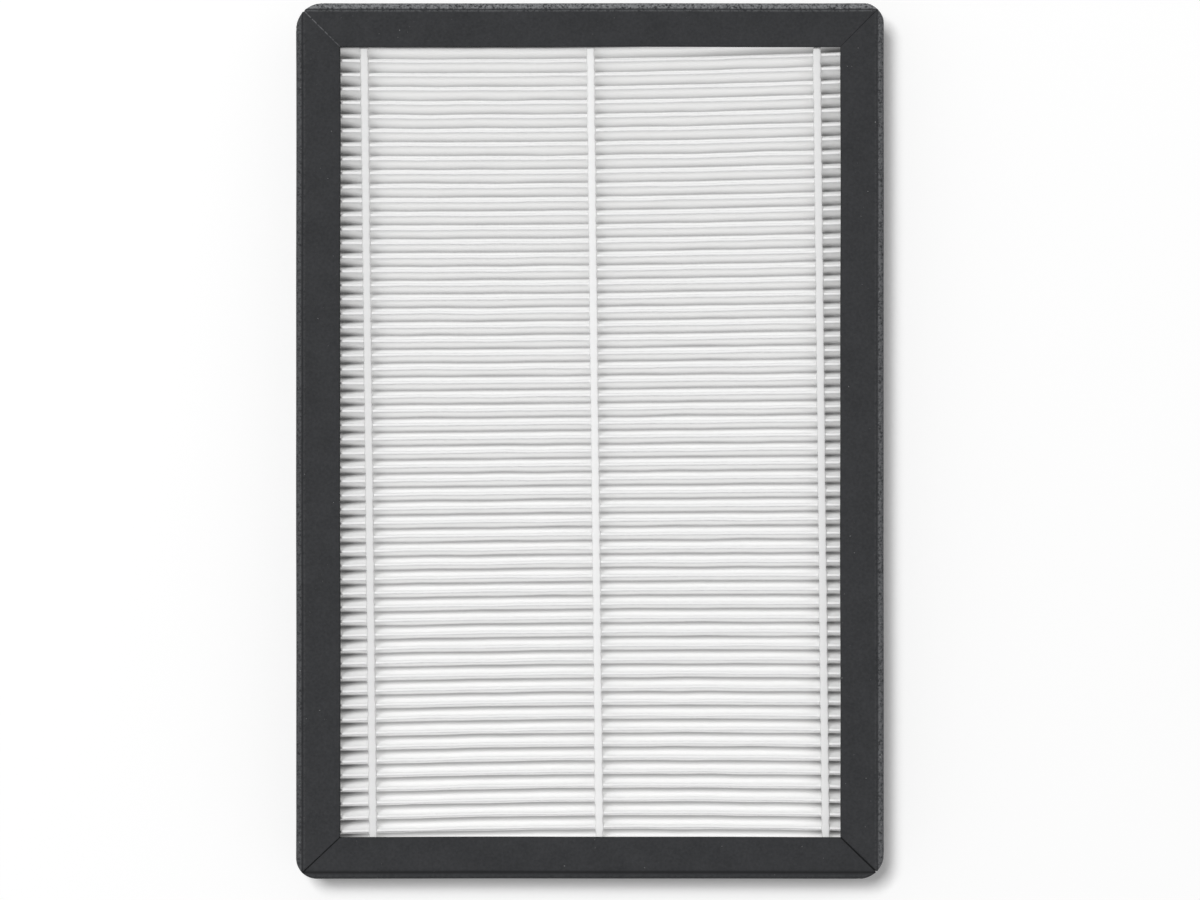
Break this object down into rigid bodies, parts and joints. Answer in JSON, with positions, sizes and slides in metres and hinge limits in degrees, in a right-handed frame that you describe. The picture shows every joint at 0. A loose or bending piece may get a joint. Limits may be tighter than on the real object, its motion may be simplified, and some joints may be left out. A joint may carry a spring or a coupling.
{
  "type": "pleated hepa filter panel",
  "caption": "Flat rectangular air filter panel: a white pleated sheet held apart by glue beads, in a dark mitred frame folded from soft sheet.",
  "frame": {"origin": "middle of the back face, on the surface the panel lies on", "axes": "+Z out of the front face, +Y along the long side towards the top of the picture, +X to its right, along the pleats"},
  "size_m": [0.143, 0.213, 0.019],
  "materials": {
    "frame_sheet": "matte",
    "media": "matte",
    "glue": "satin",
    "sealant": "satin"
  },
  "bodies": {
    "root": {"pleat_pack": "media", "rail_top": "frame_sheet", "rail_left": "frame_sheet", "rail_bottom": "frame_sheet", "rail_right": "frame_sheet", "sealant_top": "sealant", "sealant_left": "sealant", "sealant_bottom": "sealant", "sealant_right": "sealant", "glue_bead_front_left": "glue", "glue_bead_front_centre": "glue", "glue_bead_front_right": "glue", "glue_bead_rear_left": "glue", "glue_bead_rear_centre": "glue", "glue_bead_rear_right": "glue"}
  },
  "joints": []
}
